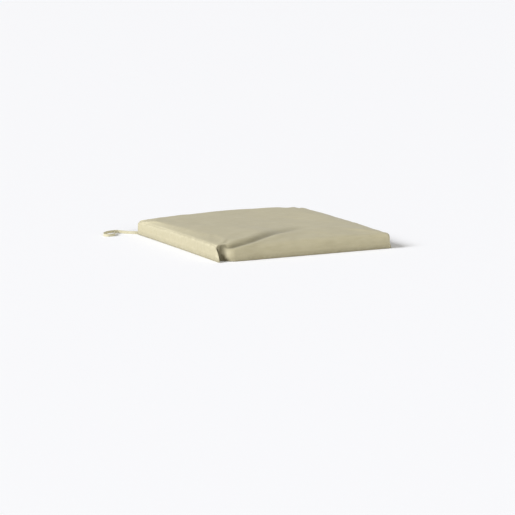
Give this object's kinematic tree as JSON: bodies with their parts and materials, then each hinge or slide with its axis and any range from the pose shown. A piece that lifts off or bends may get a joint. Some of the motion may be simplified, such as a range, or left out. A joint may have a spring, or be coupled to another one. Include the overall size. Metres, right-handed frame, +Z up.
{
  "type": "chair seat pad",
  "caption": "Square boxed seat pad with a rolled front, a foam core, a zipped removable fabric cover and a knotted tape tie at each back corner.",
  "frame": {"origin": "centre of the pad's flat base, measured without the ties", "axes": "+X along the width, towards the side where the zip closes; +Y towards the zipped back; +Z up from the base"},
  "size_m": [0.6836, 0.5294, 0.05],
  "materials": {
    "foam": "matte",
    "wadding": "matte",
    "cover_fabric": "satin",
    "zip_tape": "matte",
    "zip_coil": "satin",
    "zip_metal": "satin",
    "tie_tape": "matte"
  },
  "bodies": {
    "pad": {"foam_core": "foam", "wadding_wrap": "wadding", "top_panel": "cover_fabric", "bottom_panel": "cover_fabric", "left_boxing": "cover_fabric", "right_boxing": "cover_fabric", "upper_zip_strip": "cover_fabric", "lower_zip_strip": "cover_fabric", "upper_zip_tape": "zip_tape", "lower_zip_tape": "zip_tape", "upper_zip_coil": "zip_coil", "lower_zip_coil": "zip_coil", "zip_closed_stop": "zip_metal", "upper_open_stop": "zip_metal", "lower_open_stop": "zip_metal", "left_tie_anchor": "tie_tape", "left_tie_tape": "tie_tape", "left_tie_knot": "tie_tape", "right_tie_anchor": "tie_tape", "right_tie_tape": "tie_tape", "right_tie_knot": "tie_tape"},
    "slider": {"zip_slider": "zip_metal"},
    "pull_tab": {"zip_pull_tab": "zip_metal"}
  },
  "joints": [
    {"name": "zip_travel", "type": "slide", "parent": "pad", "child": "slider", "axis": [-1, 0, 0], "range_m": [0, 0.398]},
    {"name": "tab_flip", "type": "hinge", "parent": "slider", "child": "pull_tab", "pos_m": [0.204, 0.24575, 0.025], "axis": [0, 0, -1], "range_deg": [0, 165]}
  ]
}
